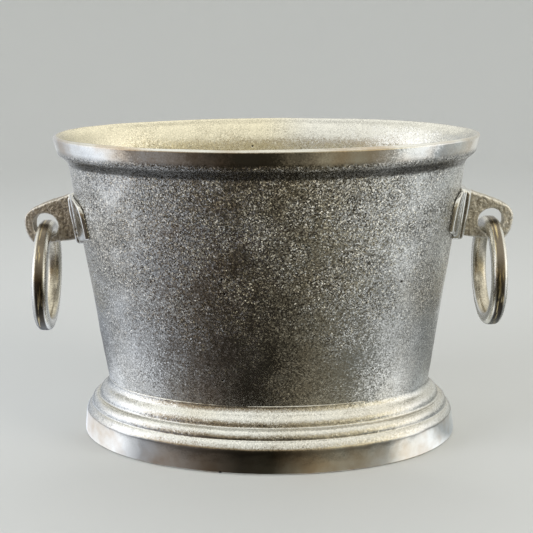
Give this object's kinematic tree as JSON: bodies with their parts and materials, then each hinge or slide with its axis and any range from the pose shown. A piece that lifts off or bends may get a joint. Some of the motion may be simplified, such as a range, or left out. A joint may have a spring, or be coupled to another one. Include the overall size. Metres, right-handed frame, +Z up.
{
  "type": "champagne bucket",
  "caption": "Oval tapered cast metal champagne bucket with a rolled rim, a moulded foot and a loose ring handle hanging from a bracket at each end.",
  "frame": {"origin": "centre of the foot's flat underside, on the surface the bucket stands on", "axes": "+Z up, +X along the long axis of the oval towards the right-hand ring, the front face towards -Y"},
  "size_m": [0.4148, 0.2094, 0.2654],
  "materials": {
    "cast_body": "satin sand-cast, polished on the rim",
    "cast_foot": "polished mouldings with fine casting grain",
    "rough_bracket": "rough cast lug with a polished stepped pad",
    "tarnished_ring": "polished with warm tarnish",
    "screw_steel": "plain",
    "washer_rubber": "matt"
  },
  "bodies": {
    "bucket": {"bucket_body": "cast_body", "foot": "cast_foot", "left_ring_bracket": "rough_bracket", "right_ring_bracket": "rough_bracket", "left_bracket_upper_screw": "screw_steel", "left_bracket_upper_washer": "washer_rubber", "left_bracket_lower_screw": "screw_steel", "left_bracket_lower_washer": "washer_rubber", "right_bracket_upper_screw": "screw_steel", "right_bracket_upper_washer": "washer_rubber", "right_bracket_lower_screw": "screw_steel", "right_bracket_lower_washer": "washer_rubber", "foot_screw_1": "screw_steel", "foot_screw_2": "screw_steel", "foot_screw_3": "screw_steel", "foot_screw_4": "screw_steel"},
    "left_handle": {"left_ring": "tarnished_ring"},
    "right_handle": {"right_ring": "tarnished_ring"}
  },
  "joints": [
    {"name": "left_ring_swing", "type": "hinge", "parent": "bucket", "child": "left_handle", "pos_m": [-0.189, 0, 0.1869], "axis": [0, 1, 0], "range_deg": [-24, 180]},
    {"name": "right_ring_swing", "type": "hinge", "parent": "bucket", "child": "right_handle", "pos_m": [0.189, 0, 0.1907], "axis": [0, -1, 0], "range_deg": [-22, 184]}
  ]
}
